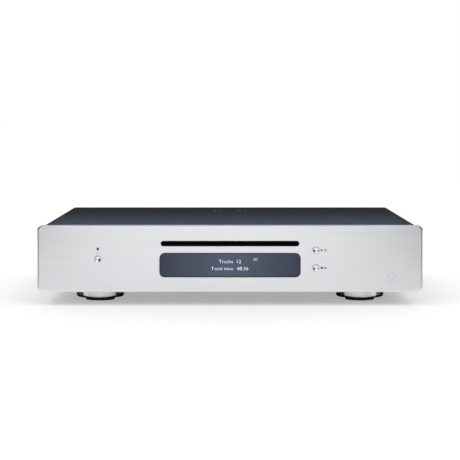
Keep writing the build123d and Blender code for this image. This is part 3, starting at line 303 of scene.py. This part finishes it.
def plated_metal(name, dark, light, roughness):
    """Plated or ground metal: faint clouds in the plating and fine scratches."""
    finish = Finish(name, light, roughness, 1.0)
    cloud = finish.noise((300, 300, 300), 4)
    scratches = finish.noise((4000, 200, 4000), 2)
    finish.set("Base Color", finish.blend(finish.spread(cloud, 0, 1), dark, light))
    wear = finish.maths("ADD", cloud, scratches)
    finish.set("Roughness", finish.spread(wear, roughness - 0.06, roughness + 0.08, 0.7, 1.3))
    finish.bump(scratches, 0.006 * MM, 0.3)
    return finish.material


def circuit_board():
    """Green laminate with faint copper tracks; what stands above the laminate is dark component plastic."""
    finish = Finish("circuit_board", (0.02, 0.12, 0.05), 0.35)
    tracks = finish.node("ShaderNodeTexBrick")
    tracks.inputs["Scale"].default_value = 160
    tracks.inputs["Mortar Size"].default_value = 0.04
    tracks.inputs["Color1"].default_value = (0.016, 0.10, 0.042, 1)
    tracks.inputs["Color2"].default_value = (0.024, 0.14, 0.06, 1)
    tracks.inputs["Mortar"].default_value = (0.05, 0.22, 0.09, 1)
    finish.link(finish.place, tracks.inputs["Vector"])
    x, y, z = finish.axes()
    laminate_top = board_low.z + 1.7 * MM
    above = finish.maths("GREATER_THAN", z, laminate_top)
    behind_fascia = finish.maths("LESS_THAN", y, FACE + 0.02)
    components = finish.maths("MULTIPLY", above, finish.maths("SUBTRACT", 1.0, behind_fascia))
    finish.set("Base Color", finish.blend(components, tracks.outputs["Color"], (0.02, 0.02, 0.024)))
    grain = finish.noise((900, 900, 900), 2)
    finish.set("Roughness", finish.spread(grain, 0.3, 0.42))
    finish.bump(grain, 0.02 * MM, 0.3)
    return finish.material


def laminations():
    """Edge-on core plates and varnish of the transformer."""
    finish = Finish("transformer_lamination", (0.12, 0.1, 0.08), 0.5, 0.4)
    plates = finish.node("ShaderNodeTexWave", wave_type="BANDS", bands_direction="Z")
    plates.inputs["Scale"].default_value = 300
    plates.inputs["Distortion"].default_value = 0.4
    finish.link(finish.place, plates.inputs["Vector"])
    finish.set("Base Color", finish.blend(plates.outputs["Fac"], (0.05, 0.045, 0.04), (0.2, 0.18, 0.15)))
    finish.set("Roughness", finish.spread(finish.noise((200, 200, 200), 3), 0.4, 0.6))
    finish.bump(plates.outputs["Fac"], 0.1 * MM, 0.6)
    return finish.material


def smoked_lens():
    finish = Finish("lens_clear", (0.01, 0.011, 0.014), 0.08, Coat_Weight=0.6, Coat_Roughness=0.04)
    haze = finish.noise((900, 900, 900), 2)
    tone = finish.spread(haze, 0, 1)
    finish.set("Base Color", finish.blend(tone, (0.007, 0.008, 0.011), (0.02, 0.02, 0.026)))
    finish.set("Roughness", finish.spread(haze, 0.06, 0.12))
    return finish.material


def ink(name, colour, lighter):
    """Screen-printed ink, matt and slightly uneven."""
    finish = Finish(name, colour, 0.6)
    mesh_marks = finish.noise((5000, 5000, 5000), 2)
    finish.set("Base Color", finish.blend(finish.spread(mesh_marks, 0, 1), colour, lighter))
    finish.set("Roughness", finish.spread(mesh_marks, 0.5, 0.7))
    finish.bump(mesh_marks, 0.004 * MM, 0.4)
    return finish.material


FINISHES = {
    "brushed_aluminium": brushed_aluminium(),
    "window_acrylic": window_acrylic(),
    "display_glass": moulded_plastic("display_glass", (0.01, 0.015, 0.02), (0.02, 0.03, 0.04), 0.2),
    "circuit_board": circuit_board(),
    "lens_clear": smoked_lens(),
    "black_plastic": moulded_plastic("black_plastic", (0.01, 0.01, 0.011), (0.02, 0.02, 0.022)),
    "black_felt": felt(),
    "black_paint": powder_coat("black_paint", (0.006, 0.0075, 0.010), (0.011, 0.0135, 0.018), 0.32),
    "black_screw": plated_metal("black_screw", (0.1, 0.1, 0.11), (0.2, 0.2, 0.21), 0.34),
    "zinc_steel": plated_metal("zinc_steel", (0.5, 0.51, 0.52), (0.66, 0.67, 0.68), 0.34),
    "polished_steel": plated_metal("polished_steel", (0.62, 0.62, 0.64), (0.75, 0.75, 0.77), 0.16),
    "black_rubber": rubber(),
    "turntable_plastic": moulded_plastic("turntable_plastic", (0.05, 0.05, 0.055), (0.09, 0.09, 0.095)),
    "white_nylon": moulded_plastic("white_nylon", (0.7, 0.69, 0.64), (0.8, 0.79, 0.75), 0.4),
    "transformer_lamination": laminations(),
    "raw_aluminium": plated_metal("raw_aluminium", (0.6, 0.6, 0.62), (0.76, 0.76, 0.78), 0.42),
    "ribbon_plastic": moulded_plastic("ribbon_plastic", (0.6, 0.6, 0.57), (0.72, 0.72, 0.7), 0.35),
    "gold_plate": plated_metal("gold_plate", (0.72, 0.5, 0.2), (0.86, 0.64, 0.3), 0.2),
    "nickel_plate": plated_metal("nickel_plate", (0.6, 0.58, 0.54), (0.74, 0.72, 0.68), 0.24),
}
DARK_INK = ink("dark_ink", (0.05, 0.05, 0.06), (0.09, 0.09, 0.1))
GREY_INK = ink("grey_ink", (0.42, 0.43, 0.46), (0.5, 0.51, 0.54))
READOUT = readout_glow()

# the region of the cooling slots that gets the painted highlight, from inside the sheet to just under its
# painted face
VENT_HALF, VENT_FRONT, VENT_BACK = 0.02, 0.06, 0.102
VENTS = (Vector((-VENT_HALF, VENT_FRONT, cover_high.z - 1.6 * MM)),
         Vector((VENT_HALF, VENT_BACK, cover_high.z - 0.06 * MM)))
COVER = powder_coat("cover_paint", (0.003, 0.004, 0.0055), (0.006, 0.0075, 0.010), 0.3, VENTS)


# ---- finishes on the CAD nodes ----
SMOOTH_ANGLE = math.radians(32)


def dress(piece, material):
    """Gives a piece one material, and smooth shading up to the usual edge angle."""
    piece.data.materials.clear()
    piece.data.materials.append(material)
    for polygon in piece.data.polygons:
        polygon.material_index = 0
    piece.data.shade_smooth()
    piece.data.set_sharp_from_angle(angle=SMOOTH_ANGLE)


for name, node in frame["nodes"].items():
    slot = SLOTS[name]
    if name == "top_cover":
        dress(node, COVER)
    elif slot != "turned_aluminium":
        dress(node, FINISHES[slot])
    elif name in BUTTONS:
        dress(node, turned_aluminium(f"turned_{name}", middle(BUTTONS[name]), "Y", 0.2))
    else:
        dress(node, turned_aluminium(f"turned_{name}", middle(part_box(name)), "Z", 0.17))


# ---- printed marks: thin raised ink on the fascia ----
INK_DEPTH = 0.04 * MM


def prism(name, outlines, depth, material):
    """Flat shapes given as (x, z) outlines, standing depth proud of the fascia, as one piece."""
    mesh = bmesh.new()
    for outline in outlines:
        corners = [mesh.verts.new((x, FACE, z)) for x, z in outline]
        face = mesh.faces.new(corners)
        raised = bmesh.ops.extrude_face_region(mesh, geom=[face])["geom"]
        moved = [item for item in raised if isinstance(item, bmesh.types.BMVert)]
        bmesh.ops.translate(mesh, verts=moved, vec=(0, -depth, 0))
    bmesh.ops.recalc_face_normals(mesh, faces=mesh.faces)
    data = bpy.data.meshes.new(name)
    mesh.to_mesh(data)
    mesh.free()
    data.materials.append(material)
    piece = bpy.data.objects.new(name, data)
    bpy.context.scene.collection.objects.link(piece)
    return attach(piece, "case")


def arc(centre, radius, start, end, steps):
    """Points on an arc in the fascia's plane, angles in degrees from +X towards +Z."""
    turns = [math.radians(start + (end - start) * step / steps) for step in range(steps + 1)]
    return [(centre[0] + radius * math.cos(turn), centre[1] + radius * math.sin(turn)) for turn in turns]


def ring_outlines(centre, inner, outer, start=0.0, end=360.0, steps=32):
    """A flat ring, or part of one, as a row of four-cornered outlines."""
    inside, outside = arc(centre, inner, start, end, steps), arc(centre, outer, start, end, steps)
    return [(inside[i], outside[i], outside[i + 1], inside[i + 1]) for i in range(steps)]


def rectangle(x, z, width, height):
    return [(x - width / 2, z - height / 2), (x + width / 2, z - height / 2),
            (x + width / 2, z + height / 2), (x - width / 2, z + height / 2)]


def mark(name, outlines, material=DARK_INK):
    prism(name, outlines, INK_DEPTH, material)


ICON = 2.1 * MM
play, stop, standby = (middle(BUTTONS[name]) for name in ("play_button", "stop_button", "standby_button"))
x, z = play.x + 5.4 * MM, play.z
mark("play_icon", [[(x - ICON * 0.45, z - ICON / 2), (x + ICON * 0.5, z), (x - ICON * 0.45, z + ICON / 2)]])
x += 3.1 * MM
mark("pause_icon", [rectangle(x + side * ICON * 0.28, z, ICON * 0.3, ICON) for side in (-1, 1)])
x, z = stop.x + 5.5 * MM, stop.z
mark("stop_icon", [rectangle(x, z, ICON * 0.95, ICON * 0.95)])
x += 3.2 * MM
mark("eject_icon", [
    [(x - ICON / 2, z - ICON * 0.12), (x + ICON / 2, z - ICON * 0.12), (x, z + ICON / 2)],
    rectangle(x, z - ICON * 0.4, ICON, ICON * 0.22),
])
x, z = standby.x, standby.z + 5.5 * MM
mark("standby_icon", ring_outlines((x, z), 0.95 * MM, 1.3 * MM, 120, 420, 24)
     + [rectangle(x, z + 0.85 * MM, 0.34 * MM, 1.2 * MM)], GREY_INK)

# a plain disc pictogram, faintly printed in the lower right corner
x, z = panel_high.x - 27.8 * MM, panel_low.z + 12.4 * MM
mark("disc_icon", ring_outlines((x, z), 4.35 * MM, 4.65 * MM, steps=48)
     + ring_outlines((x, z), 1.2 * MM, 1.45 * MM, steps=24)
     + ring_outlines((x, z), 2.9 * MM, 3.1 * MM, 25, 65, 8)
     + ring_outlines((x, z), 2.9 * MM, 3.1 * MM, 205, 245, 8), GREY_INK)


# ---- readout on the window ----
def readout(name, text, x, z, size, width):
    """Lit text of that width, with strokes thinned a little."""
    curve = bpy.data.curves.new(name, "FONT")
    curve.body = text
    curve.align_x = "CENTER"
    curve.align_y = "CENTER"
    curve.size = size
    curve.extrude = 0.01 * MM
    curve.offset = -0.09 * MM
    curve.resolution_u = 3
    piece = bpy.data.objects.new(name, curve)
    bpy.context.scene.collection.objects.link(piece)
    piece.location = (x, window_low.y - 0.012 * MM, z)
    piece.rotation_euler = (math.radians(90), 0, 0)
    bpy.context.view_layer.update()
    piece.scale = (width / piece.dimensions.x, 1, 1)
    curve.materials.append(READOUT)
    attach(piece, "case")


readout_z = middle((window_low, window_high)).z
readout("readout_tracks", "Tracks  12", 0, readout_z + 3.1 * MM, 4.4 * MM, 20.0 * MM)
readout("readout_time", "Total time  48:36", -0.3 * MM, readout_z - 3.3 * MM, 4.4 * MM, 33.7 * MM)
readout("readout_small", "07", 23.5 * MM, readout_z + 4.9 * MM, 3.6 * MM, 3.9 * MM)


# ---- studio ----
FLOOR_GLOW = 0.39
# heights of a reflected ray's direction where the ceiling starts and is full, and its strength at each
CEILING = (0.5, 0.9, 0.03, 0.8)


def soft_light(name, place, target, width, height, power, colour=(1, 1, 1)):
    data = bpy.data.lights.new(name, "AREA")
    data.shape = "RECTANGLE"
    data.size, data.size_y = width, height
    data.energy = power
    data.color = colour
    light = bpy.data.objects.new(name, data)
    bpy.context.scene.collection.objects.link(light)
    light.location = place
    light.rotation_euler = (Vector(target) - Vector(place)).to_track_quat("-Z", "Y").to_euler()
    light.visible_camera = False


soft_light("top_light", (0, -0.3, 1.6), (0, -0.05, 0), 2.0, 1.2, 1.5)
soft_light("front_light", (-0.05, -2.2, 0.85), (0, 0, 0.05), 1.3, 1.0, 7.4)
soft_light("cover_light", (0, 0.2, 0.175), (0, -0.15, 0.07), 0.4, 0.03, 0.08, (0.5, 0.68, 1.0))
soft_light("rear_light", (0, 1.9, 1.7), (0, 0, 0.05), 1.6, 0.8, 2)


def pale_world():
    """White all round for soft shadows. Metal and paint reflect a dim studio with a bright ceiling."""
    world = bpy.data.worlds.new("studio")
    bpy.context.scene.world = world
    world.use_nodes = True
    nodes, links = world.node_tree.nodes, world.node_tree.links
    nodes.clear()
    output = nodes.new("ShaderNodeOutputWorld")
    mix = nodes.new("ShaderNodeMixShader")
    path = nodes.new("ShaderNodeLightPath")
    white, dim = nodes.new("ShaderNodeBackground"), nodes.new("ShaderNodeBackground")
    white.inputs["Color"].default_value = (1, 1, 1, 1)
    dim.inputs["Color"].default_value = (0.85, 0.92, 1.0, 1)
    direction = nodes.new("ShaderNodeTexCoord")
    height = nodes.new("ShaderNodeSeparateXYZ")
    ceiling = nodes.new("ShaderNodeMapRange")
    for socket, value in zip(ceiling.inputs[1:5], CEILING):
        socket.default_value = value
    links.new(direction.outputs["Generated"], height.inputs[0])
    links.new(height.outputs["Z"], ceiling.inputs["Value"])
    links.new(ceiling.outputs["Result"], dim.inputs["Strength"])
    links.new(path.outputs["Is Glossy Ray"], mix.inputs[0])
    links.new(white.outputs[0], mix.inputs[1])
    links.new(dim.outputs[0], mix.inputs[2])
    links.new(mix.outputs[0], output.inputs["Surface"])


def pale_floor():
    data = bpy.data.meshes.new("floor")
    half = 30.0  # metres, out to the horizon
    corners = [(-half, -half, 0), (half, -half, 0), (half, half, 0), (-half, half, 0)]
    data.from_pydata(corners, [], [(0, 1, 2, 3)])
    floor = bpy.data.objects.new("floor", data)
    bpy.context.scene.collection.objects.link(floor)
    finish = Finish("pale_floor", (0.62, 0.62, 0.62), 0.9, Specular_IOR_Level=0.05)
    finish.shader.inputs["Emission Color"].default_value = (1, 1, 1, 1)
    finish.shader.inputs["Emission Strength"].default_value = FLOOR_GLOW
    data.materials.append(finish.material)
    floor.location.z = cad_box[0].z - 0.1 * MM


def black_card(name, corners, reflected=True):
    """A black card that the camera doesn't see. It is either reflected in metal, or shades the floor."""
    data = bpy.data.meshes.new(name)
    data.from_pydata(corners, [], [(0, 1, 2, 3)])
    card = bpy.data.objects.new(name, data)
    bpy.context.scene.collection.objects.link(card)
    data.materials.append(Finish(name, (0.003, 0.003, 0.003), 0.9, Specular_IOR_Level=0.0).material)
    card.visible_camera = False
    card.visible_glossy = reflected
    card.visible_diffuse = card.visible_shadow = not reflected


pale_world()
pale_floor()
# a mat under the player darkens the sides of the feet, and a flag on each side the ends of the fascia
MAT_Z, MAT_NEAR, MAT_FAR, MAT_HALF = 0.3 * MM, -0.128, 0.135, 0.34
black_card("mat", [(-MAT_HALF, MAT_NEAR, MAT_Z), (MAT_HALF, MAT_NEAR, MAT_Z),
                   (MAT_HALF, MAT_FAR, MAT_Z), (-MAT_HALF, MAT_FAR, MAT_Z)])
FLAG_FRONT, FLAG_BACK, FLAG_TOP = -1.1, -0.2, 0.3
for side, x in (("left", -0.25), ("right", 0.225)):
    black_card(f"{side}_flag", [(x, FLAG_FRONT, 0), (x, FLAG_BACK, 0),
                                (x, FLAG_BACK, FLAG_TOP), (x, FLAG_FRONT, FLAG_TOP)])
# a card standing on the front of the player softens the light on the floor in front
SHADE_Y, SHADE_HALF, SHADE_LOW, SHADE_HIGH = -0.15, 0.17, 0.078, 0.2
black_card("floor_shade", [(-SHADE_HALF, SHADE_Y, SHADE_LOW), (SHADE_HALF, SHADE_Y, SHADE_LOW),
                           (SHADE_HALF, SHADE_Y, SHADE_HIGH), (-SHADE_HALF, SHADE_Y, SHADE_HIGH)],
           reflected=False)

# ---- camera: level with the upper part of a shelf, a little above the player ----
LENS = 138.7
EYE_HEIGHT, EYE_DISTANCE, EYE_TILT = 0.1746, 1.6026, 3.77
camera_data = bpy.data.cameras.new("camera")
camera_data.lens = LENS
camera_data.clip_end = 100
camera = bpy.data.objects.new("camera", camera_data)
bpy.context.scene.collection.objects.link(camera)
camera.location = (0, FACE - EYE_DISTANCE, EYE_HEIGHT)
camera.rotation_euler = (math.radians(90 - EYE_TILT), 0, 0)
bpy.context.scene.camera = camera
bpy.context.scene.view_settings.view_transform = "Standard"
